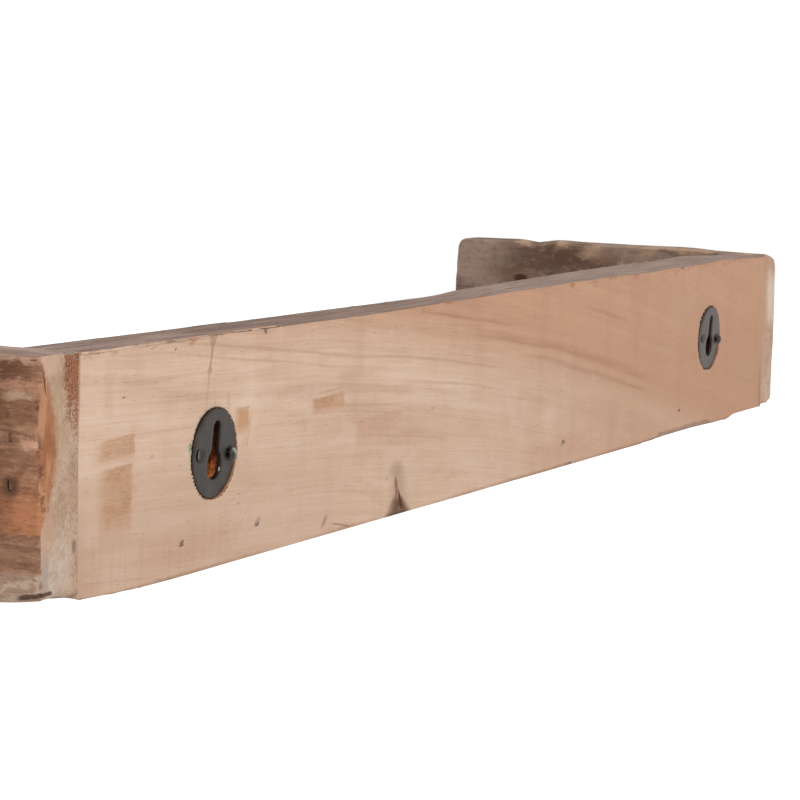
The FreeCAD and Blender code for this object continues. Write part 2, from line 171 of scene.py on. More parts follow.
class Wire:
    """A socket in a node tree. Arithmetic on wires adds Math nodes, and paint mixes two colours."""

    FACTOR, BELOW, ABOVE, MIXED = 0, 6, 7, 2

    def __init__(self, tree, socket=None):
        self.tree = tree
        self.socket = socket

    def node(self, kind, settings, sockets, output=0):
        """Add a node: its settings first, then the value or the wire of each socket."""
        made = self.tree.nodes.new("ShaderNode" + kind)
        for name, value in settings.items():
            setattr(made, name, value)
        for name, value in sockets.items():
            if isinstance(value, Wire):
                self.tree.links.new(value.socket, made.inputs[name])
            else:
                made.inputs[name].default_value = value
        return Wire(self.tree, made.outputs[output] if made.outputs else None)

    def beside(self, output):
        """Another output of the same node."""
        return Wire(self.tree, self.socket.node.outputs[output])

    def math(self, operation, *values):
        return self.node("Math", {"operation": operation}, dict(enumerate(values)))

    def __add__(self, other):
        return self.math("ADD", self, other)

    def __sub__(self, other):
        return self.math("SUBTRACT", self, other)

    def __rsub__(self, other):
        return self.math("SUBTRACT", other, self)

    def __mul__(self, other):
        return self.math("MULTIPLY", self, other)

    def __truediv__(self, other):
        return self.math("DIVIDE", self, other)

    def __neg__(self):
        return self.math("MULTIPLY", self, -1.0)

    def __abs__(self):
        return self.math("ABSOLUTE", self)

    __radd__ = __add__
    __rmul__ = __mul__

    def most(self, other):
        return self.math("MAXIMUM", self, other)

    def least(self, other):
        return self.math("MINIMUM", self, other)

    def rise(self, low, high):
        """0 below low, 1 above high and smooth between."""
        sockets = {"Value": self, "From Min": low, "From Max": high}
        return self.node("MapRange", {"interpolation_type": "SMOOTHSTEP"}, sockets)

    def near(self, middle, reach, soft):
        """1 within reach of a middle value, fading to 0 over soft."""
        return 1 - abs(self - middle).rise(reach - soft, reach + soft)

    def window(self, low, high, soft_low, soft_high):
        """1 between low and high, with a softness for each of the two ends."""
        above = self.rise(low - soft_low, low + soft_low)
        return above * (1 - self.rise(high - soft_high, high + soft_high))

    def noise(self, x, y, z, detail=2.0, roughness=0.5):
        place = self.node("CombineXYZ", {}, {"X": x, "Y": y, "Z": z})
        sockets = {"Vector": place, "Scale": 1.0, "Detail": detail, "Roughness": roughness}
        return self.node("TexNoise", {}, sockets)

    def split(self):
        first = self.node("SeparateXYZ", {}, {"Vector": self})
        return [first, first.beside("Y"), first.beside("Z")]

    def place(self):
        """Where a point is: along X, Y and Z."""
        return self.node("TexCoord", {}, {}, "Object").split()

    def lean(self):
        """Which way the surface faces: along X, Y and Z."""
        return self.node("NewGeometry", {}, {}, "Normal").split()

    def paint(self, below, above):
        """The colour below where this mask is 0, and above where it is 1."""
        sockets = {self.FACTOR: self, self.BELOW: below, self.ABOVE: above}
        return self.node("Mix", {"data_type": "RGBA"}, sockets, self.MIXED)


def new_finish(name):
    """An empty material and a wire to build it with."""
    finish = bpy.data.materials.new(name)
    finish.use_nodes = True
    finish.node_tree.nodes.clear()
    return finish, Wire(finish.node_tree)


def close_finish(wire, colour, roughness, height, relief, gloss=0.5, metal=0.0):
    """Shade a surface from its colour, roughness and height; relief is the depth of height 0 to 1."""
    normal = wire.node("Bump", {}, {"Height": height, "Distance": relief, "Strength": 1.0})
    sockets = {"Base Color": colour, "Roughness": roughness, "Normal": normal}
    sockets |= {"Specular IOR Level": gloss, "Metallic": metal}
    wire.node("OutputMaterial", {}, {"Surface": wire.node("BsdfPrincipled", {}, sockets)})


def stained(colour, *coats):
    """A colour under coats of stain, each with its mask, its strength and its screen colour."""
    for mask, strength, screen in coats:
        colour = (mask * strength).paint(colour, shade(*screen))
    return colour


def ellipse(across, up, middle, reach, soft):
    """1 inside an ellipse with half sizes reach, fading to 0 over soft, a share of those sizes."""
    a = (across - middle[0]) / reach[0]
    b = (up - middle[1]) / reach[1]
    return 1 - (a * a + b * b).rise((1 - soft) ** 2, (1 + soft) ** 2)


def old_skin(wood, along, across, through, shift, dark, pale, streaky=0.5):
    """Colour and height of a weathered face: blotches, streaks along the grain, checks and specks."""
    blotch = wood.noise(along * 20 + shift, across * 60, through * 60, 4.0, 0.6)
    streak = wood.noise(along * 26 + shift, across * 380, through * 380, 4.0, 0.65)
    fuzz = wood.noise(along * 110 + shift, across * 1300, through * 1300, 3.0, 0.7)
    speck = wood.noise(along * 380 + shift, across * 620, through * 620, 2.0, 0.6).rise(0.62, 0.74)
    contour = wood.noise(along * 7 + shift, across * 130, through * 130, 1.0)
    check = (1 - abs(contour - 0.5).rise(0.0, 0.02)) * blotch.rise(0.42, 0.6)
    deep = (dark[0] * 0.45, dark[1] * 0.42, dark[2] * 0.4, 1.0)
    lines = streak * 0.6 + fuzz * 0.4
    colour = (blotch * (1 - streaky) + lines * streaky).rise(0.38, 0.62).paint(dark, pale)
    colour = (check * streaky * streaky * 1.6 + speck * streaky * 0.8).paint(colour, deep)
    return colour, blotch * 0.3 + lines * 0.7 - check * streaky * 0.5 - speck * 0.2


def rubbed_arris(lean, grit):
    """1 where a surface is oblique: the rounded arrises, where the old skin is rubbed away."""
    flattest = abs(lean[0]).most(abs(lean[1])).most(abs(lean[2]))
    return 1 - (flattest + grit * 0.12).rise(0.86, 0.985)


SEAT_GAP = 0.0005
RIM_REACH = 0.0003
RIM_DEPTH = 0.0006
TOOTH_CELL = (0.0012, 0.01, 0.0012)
TOOTH_DEPTH = 0.00055
TOOTH_LENGTH = 0.0011
TOOTH_SEED = 41
TEETH = 66
ARRIS_ROUND = 0.0012
ARRIS_SQUARED = 0.85
ARRIS_HEIGHT = 0.005
ARRIS_DEPTH = 0.003
WANE_ENDS = (-0.315, -0.185)
FOOT_DROP = 0.0009
TOP_SWELL = 0.0003
MID_SWELL = 0.0014
FAR_SWELL = 0.0012
REAR_SWELL = 0.0008
KNOT_X = 0.1129
KNOT_LEAN = 0.165
KNOT_HEIGHT = 0.019
SPLIT_HALF = 0.0028
SPLIT_DEPTH = 0.0006
rail_low, rail_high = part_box("back_rail")
shelf_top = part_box("shelf_board")[1].z
plate_boxes = [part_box("keyhole_plate_" + hand) for hand in ("left", "right")]
plate_middles = [(low + high) / 2 for low, high in plate_boxes]
seat_radius = (plate_boxes[0][1].x - plate_boxes[0][0].x) / 2 + SEAT_GAP


def rail_keep(points, normals):
    """Still at the ends, where the shelf board butts on the front, and inside the bored seats."""
    keep = 1 - np.clip((np.abs(normals[:, 0]) - 0.5) / 0.3, 0, 1)
    butted = (points[:, 1] < rail_low.y + 0.001) & (points[:, 2] < shelf_top + 0.002)
    sunk = (points[:, 1] < -0.002) & (points[:, 1] > rail_low.y + 0.003)
    sunk &= (points[:, 2] > rail_low.z + 0.004) & (points[:, 2] < rail_high.z - 0.004)
    return keep * ~butted * ~sunk


def square_arris(points, normals, chosen, side_y, side_z):
    """Draw the points of a rounded arris out towards its corner."""
    on_arris = chosen & (normals[:, 1] * side_y > 0.03) & (normals[:, 2] * side_z > 0.03)
    reach = ARRIS_SQUARED * ARRIS_ROUND * on_arris
    points[:, 1] += reach * (side_y - normals[:, 1])
    points[:, 2] += reach * (side_z - normals[:, 2])


def rail_shape(points, normals):
    """Square up the planed arrises, swell the top, tear the seats' rims and open the split knot."""
    x, y, z = points.T.copy()
    low, high = z < rail_low.z + ARRIS_HEIGHT, z > rail_high.z - ARRIS_HEIGHT
    behind, ahead = y > -ARRIS_DEPTH, y < rail_low.y + ARRIS_DEPTH
    waney = (x > WANE_ENDS[0]) & (x < WANE_ENDS[1])
    square_arris(points, normals, low & behind & ~waney, 1, -1)
    square_arris(points, normals, high & behind, 1, 1)
    square_arris(points, normals, high & ahead, -1, 1)
    foot = ease(-z, -rail_low.z - 0.012, -rail_low.z - 0.002)
    points[:, 2] -= FOOT_DROP * foot * ease(y, -0.02, -0.01)
    front = ease(-y, 0.006, 0.02)
    near_swell = ease(x, -0.02, 0.16) * front * TOP_SWELL
    far_swell = ease(-x, -0.035, 0.01) * MID_SWELL + ease(-x, 0.0, 0.14) * FAR_SWELL
    far_swell *= ease(x, -0.37, -0.3) * (0.4 + 0.6 * front)
    rear_swell = ease(-x, -0.15, -0.05) * ease(x, -0.18, -0.08) * (1 - front) * REAR_SWELL
    swell = near_swell + far_swell + rear_swell
    points[:, 2] += ease(z, rail_high.z - 0.012, rail_high.z - 0.003) * swell
    for number, middle in enumerate(plate_middles):
        spoke = points - np.array(middle)
        reach = np.hypot(spoke[:, 0], spoke[:, 2])
        rim = (np.abs(reach - seat_radius) < RIM_REACH) & (points[:, 1] > -RIM_DEPTH)
        tooth = lattice_noise(points, TOOTH_CELL, TOOTH_SEED + number)
        tooth = np.clip(tooth + 0.1, 0, 1) * TOOTH_DEPTH
        points[:, 0] += np.where(rim, spoke[:, 0] / reach * tooth, 0)
        points[:, 2] += np.where(rim, spoke[:, 2] / reach * tooth, 0)
    rise = points[:, 2] - rail_low.z
    split = np.abs(points[:, 0] - KNOT_X - KNOT_LEAN * rise) / SPLIT_HALF
    gouge = np.clip(1 - split, 0, 1) * np.clip(1 - rise / KNOT_HEIGHT, 0, 1) * (points[:, 1] > -0.006)
    points[:, 1] -= SPLIT_DEPTH * gouge * ease(rise, 0.0, 0.004)
    return points


def by_a_seat(place):
    """Whether a place is on the rear face, in or close round a bored seat."""
    nearest = min((place - middle).length for middle in plate_middles)
    return place.y > -0.001 and nearest < seat_radius + 0.0015


def by_the_knot(place):
    """Whether a place is on the rear face at the split knot."""
    low_down = place.y > -0.003 and place.z < rail_low.z + KNOT_HEIGHT
    return low_down and abs(place.x - KNOT_X - 0.002) < 0.008


rail_mesh = cell_mesh("back_rail", step=0.0021)
finer_cells(rail_mesh, by_a_seat, cuts=2)
finer_cells(rail_mesh, by_the_knot, cuts=1)
wear(
    rail_mesh, rail_keep, rail_shape, seed=5, chip=0.0005,
    wave=0.00022, wave_cell=(0.3, 0.03, 0.03), ridge=0.00007, ridge_cell=(0.05, 0.004, 0.004),
)

# Lines of late wood: height in the bent grain, half width, far and near end along the board, weight
GROWTH_LINES = (
    (0.0793, 0.0006, 0.01, 0.30, 0.36),
    (0.0748, 0.0005, 0.17, 0.30, 0.30),
    (0.1010, 0.0007, 0.00, 0.09, 0.50),
    (0.0950, 0.0019, -0.19, 0.03, 0.40),
    (0.0935, 0.0009, -0.10, 0.02, 0.30),
    (0.0875, 0.0012, -0.19, -0.03, 0.36),
    (0.1195, 0.0010, -0.16, -0.10, 0.40),
    (0.0690, 0.0005, 0.01, 0.10, 0.30),
)
CLIMB_START = 0.18
CLIMB = 0.06

# Patches that the planer's blade skipped: low and high end and their softness along and up, weight
SKIPPED_PATCHES = (
    ((0.3370, 0.3620, 0.0010, 0.0050), (0.0500, 0.0580, 0.0020, 0.0006), 0.78),
    ((0.3390, 0.3600, 0.0020, 0.0060), (0.0240, 0.0472, 0.0120, 0.0007), 0.95),
    ((0.1670, 0.1955, 0.0015, 0.0020), (0.0525, 0.0585, 0.0020, 0.0006), 0.95),
    ((0.1690, 0.1900, 0.0060, 0.0060), (0.0600, 0.0605, 0.0004, 0.0004), 0.80),
    ((0.3520, 0.3580, 0.0020, 0.0020), (0.0660, 0.0850, 0.0060, 0.0040), 0.25),
    ((0.2600, 0.3340, 0.0200, 0.0080), (0.0050, 0.0190, 0.0060, 0.0080), 0.33),
    ((0.3620, 0.3750, 0.0040, 0.0020), (0.0000, 0.0180, 0.0040, 0.0080), 0.33),
    ((0.1130, 0.1550, 0.0160, 0.0030), (0.0370, 0.0460, 0.0040, 0.0010), 0.35),
    ((0.0900, 0.1280, 0.0120, 0.0060), (0.0300, 0.0370, 0.0030, 0.0030), 0.27),
    ((0.1220, 0.1700, 0.0150, 0.0100), (0.0635, 0.0685, 0.0030, 0.0020), 0.24),
    ((0.2134, 0.2424, 0.0100, 0.0080), (0.0695, 0.0743, 0.0030, 0.0020), 0.22),
    ((0.2165, 0.2455, 0.0080, 0.0100), (0.0545, 0.0595, 0.0025, 0.0025), 0.24),
    ((-0.1080, -0.0300, 0.0200, 0.0150), (0.0030, 0.0150, 0.0030, 0.0030), 0.35),
    ((-0.2650, -0.2400, 0.0050, 0.0060), (0.0380, 0.0420, 0.0015, 0.0015), 0.29),
    ((-0.1460, -0.1340, 0.0050, 0.0050), (0.0820, 0.0845, 0.0020, 0.0020), 0.33),
)

# Dark stain round the nail holes: middle, half sizes, weight
NAIL_STAINS = (
    ((0.3016, 0.0120), (0.0009, 0.0012), 0.75),
    ((0.2421, 0.0125), (0.0020, 0.0018), 0.30),
    ((0.1837, 0.0050), (0.0016, 0.0022), 0.40),
    ((-0.0753, 0.0110), (0.0030, 0.0012), 0.25),
    ((-0.2410, 0.0117), (0.0016, 0.0014), 0.10),
    ((0.3075, 0.0870), (0.0006, 0.0005), 0.70),
    ((0.3445, 0.0720), (0.0010, 0.0004), 0.60),
    ((0.2580, 0.0220), (0.0006, 0.0005), 0.45),
)
DRIP_X = 0.2786


def rail_grain(wood, x, y, z, rise):
    """Height in the grain, which runs level near the right end and sweeps down towards the left."""
    start, bend = 0.25, 0.45
    slope, curve, dip, wander = 0.05, 0.2, 0.4, 0.006
    run = start - x
    bent = run.most(0.0).least(bend)
    drift = wood.noise(x * 7, y * 9, z * 22, 2.0) - 0.5
    return rise + run * slope + bent * (run * 2 - bent) * curve - y * dip + drift * wander


def spilt_marks(colour, x, rise, ragged, cloud):
    """A dried drip, and by the right plate a yellow patch, a wet mark and green flecks."""
    drip_x = DRIP_X + (0.09 - rise) * 0.19 + (cloud - 0.5) * 0.0016
    drip_half = 0.0009 + rise.rise(0.083, 0.092) * 0.0026 + rise.near(0.0765, 0.0012, 0.001) * 0.0011
    drip = 1 - (abs(x - drip_x) / drip_half).rise(0.6, 1.25)
    drip = drip * (rise.rise(0.07, 0.078) * 0.6 + 0.4) * rise.rise(0.058, 0.066)

    edge = rise + ragged * 0.003
    slanted = (rise - 0.05) * 0.25
    yellow = (x + ragged * 0.003).window(0.25, 0.26, 0.0014, 0.004)
    yellow = yellow * edge.window(0.0505, 0.0594, 0.004, 0.001)
    tail = (x + ragged * 0.002 + slanted).window(0.2496, 0.255, 0.0006, 0.0016)
    yellow = yellow.most(tail * edge.window(0.044, 0.056, 0.003, 0.002) * 0.35)
    rim = edge.near(0.0597, 0.0004, 0.0003) * x.window(0.2495, 0.2606, 0.001, 0.001)
    side = (x + slanted).near(0.2496, 0.0003, 0.0003) * rise.window(0.043, 0.059, 0.003, 0.001)
    rim = rim.most(side)
    wet = ellipse(x, rise, (0.2664, 0.0635), (0.0012, 0.0034), 0.6)
    fleck = ellipse(x, rise, (0.2951, 0.0478), (0.0018, 0.0024), 0.5) * (ragged + 0.5).rise(0.38, 0.52)
    fleck = fleck.most(ellipse(x, rise, (0.2955, 0.043), (0.0005, 0.005), 0.6) * 0.5)
    return stained(
        colour,
        (drip, ragged * 0.6 + 0.55, (148, 124, 92)),
        (yellow, cloud * 0.4 + 0.55, (185, 135, 91)),
        (rim, ragged + 0.35, (150, 114, 84)),
        (wet, 0.25, (160, 128, 100)),
        (fleck, 0.85, (86, 140, 108)),
    )


def edge_marks(wood, colour, x, rise, ragged, cloud):
    """Rust and frayed fibres along the top edge, grime at the right end, and a darker line along the
    foot.
    """
    rust = wood.noise(x * 75, x * 9, rise * 260, 4.0, 0.65) + rise.rise(0.083, 0.0915) * 0.14
    rust = rust.rise(0.64, 0.78) * rise.rise(0.081, 0.088) * cloud.rise(0.4, 0.58)
    fray = wood.noise(x * 130, x * 20, rise * 900, 4.0, 0.7)
    frayed = fray.rise(0.5, 0.62) * (rise + (fray - 0.5) * 0.003).rise(0.0893, 0.0902)
    corner = (x - 0.374 + ragged * 0.0006).rise(0.0, 0.0008) * rise.rise(0.055, 0.08)
    grime = (x + ragged * 0.004).rise(0.366, 0.3755) * (1 - rise.rise(0.015, 0.05))
    foot = (1 - (rise + ragged * 0.002).rise(-0.0004, 0.0012)) * cloud.rise(0.3, 0.6)
    return stained(
        colour,
        (rust, 0.7, (164, 104, 68)),
        (frayed, 0.65 - (-x).rise(-0.29, -0.22) * 0.5, (124, 88, 66)),
        (corner, 0.6, (156, 98, 66)),
        (grime, 0.6, (186, 155, 132)),
        (foot, 0.6, (146, 104, 74)),
    )


def split_knot(colour, x, rise, ragged, cloud, band):
    """A knot split at the foot: a soft halo, darker flanks, a red tear, a dark core and a hair crack."""
    halo = 1 - (abs(x - KNOT_X) / (0.015 - rise * 0.28)).rise(0.1, 1.1)
    halo = halo * (1 - rise.rise(0.012, 0.028)) * (band * 0.8 + cloud * 0.4)
    shadow = ellipse(x, rise, (KNOT_X + 0.0032, 0.0195), (0.0055, 0.0026), 0.7) * (band * 1.4 - 0.3)
    left_half = 0.0125 - rise * 0.86
    right_half = 0.0128 - rise * 1.25
    flank = 1 - ((x - KNOT_X) / left_half).rise(0.4, 1.15)
    flank = flank * (1 - ((KNOT_X - x) / right_half).rise(0.5, 1.15))
    flank = flank * (1 - rise.rise(0.0045, 0.01))
    tear_half = 0.0005 + rise.window(0.0095, 0.015, 0.006, 0.0018) * 0.0016
    tear = 1 - (abs(x - KNOT_X - rise * KNOT_LEAN + ragged * 0.0018) / tear_half).rise(0.5, 1.2)
    tear = tear * rise.window(0.004, 0.0162, 0.001, 0.001)
    core_half = 0.0017 - rise.rise(0.003, 0.009) * 0.0012
    core = 1 - (abs(x - KNOT_X + 0.0042 - rise * 0.4 + ragged * 0.001) / core_half).rise(0.5, 1.3)
    core = core * rise.window(0.0012, 0.0105, 0.0012, 0.0015)
    darker_foot = (1 - rise.rise(-0.0004, 0.0011)) * x.window(KNOT_X - 0.008, KNOT_X + 0.012, 0.003, 0.004)
    hair = (1 - abs(rise - (x - 0.16) * 0.2).rise(0.0002, 0.0006)) * x.window(0.16, 0.176, 0.002, 0.003)
    return stained(
        colour,
        (halo, 0.65, (126, 101, 82)),
        (shadow, 0.62, (130, 104, 86)),
        (flank, ragged * 0.8 + band * 0.4 + 0.67, (94, 62, 40)),
        (tear, ragged * 0.9 + 0.7, (130, 78, 56)),
        (core, 1.0, (80, 42, 12)),
        (darker_foot, 0.75, (84, 66, 52)),
        (hair, 0.55, (110, 78, 56)),
    )


def nail_marks(colour, x, rise):
    """Stain that leans away from the nail holes, and painted shadow in the joint at the left end."""
    for middle, reach, weight in NAIL_STAINS:
        stain = ellipse(x + (rise - middle[1]) * 0.8, rise, middle, reach, 0.5)
        colour = stained(colour, (stain, weight, (84, 60, 44)))
    # Painted shadow in the lower part of the joint at the left end
    joint_shadow = (-0.3735 - x).rise(0.0, 0.006) * (1 - rise.rise(0.012, 0.036))
    return stained(colour, (joint_shadow, 0.6, (140, 106, 84)))


def bored_seats(wood, colour, x, y, z, ragged):
    """Tooth marks round the two seats, dark as painted shade in their gaps, and the cut wood inside:
    fresh at the right, painted lit below and in painted shade above, and in painted shade at the left.
    """
    nearest = 1.0
    tooth_gap_shade = 0.0
    for middle in plate_middles:
        across, up = x - middle.x, z - middle.z
        reach = wood.math("SQRT", across * across + up * up)
        angle = wood.math("ARCTAN2", up, across)
        saw = wood.math("PINGPONG", angle * (TEETH / math.pi), 1.0).rise(0.15, 0.85)
        torn = angle.near(-0.6, 0.7, 0.2).most(angle.near(1.9, 0.7, 0.3) * 0.5) * TOOTH_LENGTH
        inside = seat_radius + saw * torn + ragged * 0.0004 - reach
        tooth_gap_shade = inside.rise(-0.0001, 0.0001).most(tooth_gap_shade)
        nearest = reach.least(nearest)
    at_rear = y.rise(-0.02, -0.018)
    # Dark teeth round the rims: painted shade in the gaps between the plates and the toothed seats
    colour = stained(colour, (tooth_gap_shade * at_rear, 0.9, (46, 30, 20)))
    bored = (seat_radius + 0.0001 - nearest).rise(-0.0001, 0.0001)
    bored = bored * at_rear * (1 - y.rise(-0.0009, -0.0001))
    cut = wood.noise(x * 700, y * 700, z * 500, 3.0, 0.6).rise(0.36, 0.64)
    # Painted light in the right pocket: lit in its lower part, painted shade above; the left pocket is
    # painted shade
    lit = (plate_middles[1].z - 0.0035 - z).rise(-0.003, 0.003)
    near_cut_with_painted_light = cut.paint(shade(128, 62, 26), shade(236, 146, 88))
    near_cut_with_painted_light = lit.paint(cut.paint(shade(100, 50, 18), shade(142, 78, 34)), near_cut_with_painted_light)
    far_cut_in_painted_shade = cut.paint(shade(40, 20, 12), shade(72, 38, 24))
    wall = (nearest - 0.015).rise(0.0, 0.001)
    near_cut_with_painted_light = wall.paint(near_cut_with_painted_light, shade(186, 130, 94))
    far_cut_in_painted_shade = wall.paint(far_cut_in_painted_shade, shade(150, 106, 80))
    return bored.paint(colour, x.rise(-0.01, 0.01).paint(far_cut_in_painted_shade, near_cut_with_painted_light))


def rail_finish():
    """Planed hardwood with marks of its use, and old grey skin on its top and front."""
    finish, wood = new_finish("planed_rail_timber")
    x, y, z = wood.place()
    lean = wood.lean()
    rise = z - rail_low.z
    grain = rail_grain(wood, x, y, z, rise)

    # Growth bands and fibres, pale in the sapwood and redder in the heartwood
    band = wood.noise(x * 2.5, y * 40, grain * 140, 4.0, 0.6)
    cloud = wood.noise(x * 11, y * 20, z * 30, 3.0)
    smear = wood.noise(x * 55, y * 20, z * 14, 1.0)
    patchy = wood.noise(x * 34, y * 20, z * 75, 4.0, 0.6)
    fibre = wood.noise(x * 22, y * 300, grain * 900, 4.0, 0.65)
    pore = wood.noise(x * 150, y * 900, grain * 2200, 1.0).rise(0.66, 0.82)
    fleck = wood.noise(x * 70, y * 40, z * 150, 2.0).rise(0.7, 0.76)
    contour = wood.noise(x * 2.2 + 4, y * 20, grain * 75, 1.0)
    late = (1 - abs(contour - 0.5).rise(0.0, 0.02)) * cloud.rise(0.42, 0.62)
    calm = 1 - (-x).rise(-0.12, 0.14) * 0.5
    figure = ((band * 0.6 + fibre * 0.4).rise(0.34, 0.66) - 0.5) * calm + 0.5
    heart = (grain + (band - 0.5) * 0.014 - x * 0.035).rise(0.064, 0.104)
    heart = heart.most((-x).rise(0.02, 0.16) * 0.65)
    sap = figure.paint(shade(203, 170, 145), shade(221, 192, 169))
    red = figure.paint(shade(184, 141, 114), shade(202, 157, 127))
    warm = (1 - rise.rise(0.045, 0.068)) * (0.2 - x).rise(-0.03, 0.03)
    damp = ellipse(x, rise, (0.315, 0.004), (0.105, 0.03), 0.8)
    colour = stained(
        heart.paint(sap, red),
        (cloud.rise(0.5, 0.75), 0.4, (194, 156, 130)),
        (smear.rise(0.48, 0.75), heart * 0.12 + 0.12, (176, 134, 108)),
        (patchy.rise(0.52, 0.68), 0.3 - heart * 0.26, (226, 200, 178)),
        ((1 - patchy).rise(0.54, 0.7) * calm, 0.3, (186, 148, 122)),
        (warm, 0.12, (160, 118, 88)),
        (damp, 0.45, (184, 150, 127)),
        (late * calm, 0.2, (158, 114, 88)),
        (fleck * 0.3 + pore * 0.14, calm, (140, 102, 78)),
    )
    climbing = grain + (cloud - 0.5) * 0.004 - (x - CLIMB_START).most(0.0) * CLIMB
    for height, half, far_end, near_end, weight in GROWTH_LINES:
        line = climbing.near(height, half, half)
        line = line * x.window(far_end, near_end, 0.02, 0.02) * fibre.rise(0.25, 0.6)
        colour = stained(colour, (line, weight, (150, 104, 78)))

    # Cross marks of the planer, and rougher brown patches that its blade skipped
    stripe = wood.noise(x * 420, y * 20, z * 70, 2.0)
    stroke = wood.noise(x * 240, y * 20, z * 22, 2.0)
    ragged = wood.noise(x * 240, y * 40, z * 420, 3.0) - 0.5
    mottle = wood.noise(x * 240, y * 40, z * 1100, 3.0, 0.6).rise(0.34, 0.66)
    low_strokes = stroke.rise(0.48, 0.72) * (1 - rise.rise(0.012, 0.036)) * x.rise(0.22, 0.28)
    skipped = 0.0
    for along, up, weight in SKIPPED_PATCHES:
        patch = (x + ragged * 0.004).window(*along) * (rise + (x - along[0]) * 0.03).window(*up)
        skipped = (patch * weight).most(skipped)
    skipped = skipped * (patchy.rise(0.3, 0.6) * 0.5 + 0.5)
    colour = stained(
        colour,
        (stripe.rise(0.5, 0.8), 0.09, (168, 130, 104)),
        (low_strokes, 0.15, (168, 130, 104)),
        (skipped, mottle * 0.25 + 0.62, (178, 126, 86)),
    )
    colour = spilt_marks(colour, x, rise, ragged, cloud)
    colour = edge_marks(wood, colour, x, rise, ragged, cloud)
    colour = split_knot(colour, x, rise, ragged, cloud, band)
    colour = nail_marks(colour, x, rise)

    # Old skin on the top and front, with dark streaks along the near half, and the sawn lower edge
    skin, skin_height = old_skin(wood, x, z, y, 2.0, shade(110, 84, 71), shade(164, 138, 124), 0.7)
    streak = wood.noise(x * 14, y * 190, z * 60, 3.0, 0.6).rise(0.48, 0.62) * x.rise(0.02, 0.12)
    skin = stained(
        skin,
        (x.near(0.17, 0.13, 0.05), 0.35, (112, 84, 66)),
        (streak, 0.5, (96, 70, 60)),
        (1 - calm, 0.9, (150, 126, 114)),
    )
    edge = ragged * 0.6
    weathered = (lean[2] + edge * 0.4).rise(0.78, 0.9).most((edge - lean[1]).rise(0.5, 0.75))
    below = (ragged * 0.4 - lean[2]).rise(0.25, 0.6)
    colour = stained(weathered.paint(colour, skin), (below, 0.7, (154, 126, 110)))
    colour = bored_seats(wood, colour, x, y, z, ragged)

    height = band * 0.2 + fibre * 0.3 - pore * 0.3 - late * 0.15 + stripe * 0.12 - skipped * mottle * 0.4
    height = height * (1 - weathered) + skin_height * weathered * 1.6
    close_finish(wood, colour, fibre * 0.25 + 0.6, height, relief=0.0005, gloss=0.25)
    return finish


piece("planed_back_rail", rail_mesh, rail_finish(), "back_rail")


# Side boards: two short boards of the same old timber, grain front to back, nailed to the rail's and
# the shelf's ends. Their faces are weathered and rough; the sawn rear ends show dusty end grain.
SIDE_GLOSS = 0.2
SIDE_RELIEF = 0.0007
NOTCH_Y = -0.153
NOTCH_HALF = 0.0075
NOTCH_WEAR = 0.0016
BEYOND_Y = 0.016
BEYOND_HALF = 0.0085
BEYOND_RISE = 0.0004
FRONT_WEAR = 0.0008
FRONT_LEAN = 0.0014
REAR_WEAR = 0.0008
REAR_SPREAD = 0.0013
HEEL_WEAR = 0.0015
FRONT_ROUND = 0.009
FRONT_SQUARE = 4
TOP_CORNER = (-0.015, 0.009)
LOW_CORNER = (-0.012, -0.0062)
RIGHT_NAIL_RISES = (0.0447, 0.062)
NAIL_PIT_WEIGHTS = (0.8, 0.4)
left_low, left_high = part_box("left_side")
right_low, right_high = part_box("right_side")


def side_keep(node, joint_x):
    """Still where the rail and the shelf board butt on the inner face, and in the nail holes."""
    low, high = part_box(node)

    def keep(points, normals):
        x, y, z = points.T
        butted = (np.abs(x - joint_x) < 0.0012) & ((y > rail_low.y - 0.001) | (z < shelf_top + 0.001))
        sunk = (np.minimum(x - low.x, high.x - x) > 0.004) & (np.minimum(y - low.y, -y) > 0.005)
        sunk &= np.minimum(z - low.z, high.z - z) > 0.007
        return 1.0 * ~butted * ~sunk

    return keep


def round_corner(points, weight, corner, reach):
    """Round a corner of a board, seen from its rear end; reach runs out from the board across and up."""
    across = np.clip((points[:, 0] - corner[0]) / reach[0] + 1, 0, None)
    up = np.clip((points[:, 2] - corner[1]) / reach[1] + 1, 0, None)
    inside = (across > 0) & (up > 0)
    shrink = np.where(inside, np.maximum(across, up) / np.maximum(np.hypot(across, up), WELD), 1)
    points[:, 0] += weight * (shrink - 1) * across * reach[0]
    points[:, 2] += weight * (shrink - 1) * up * reach[1]


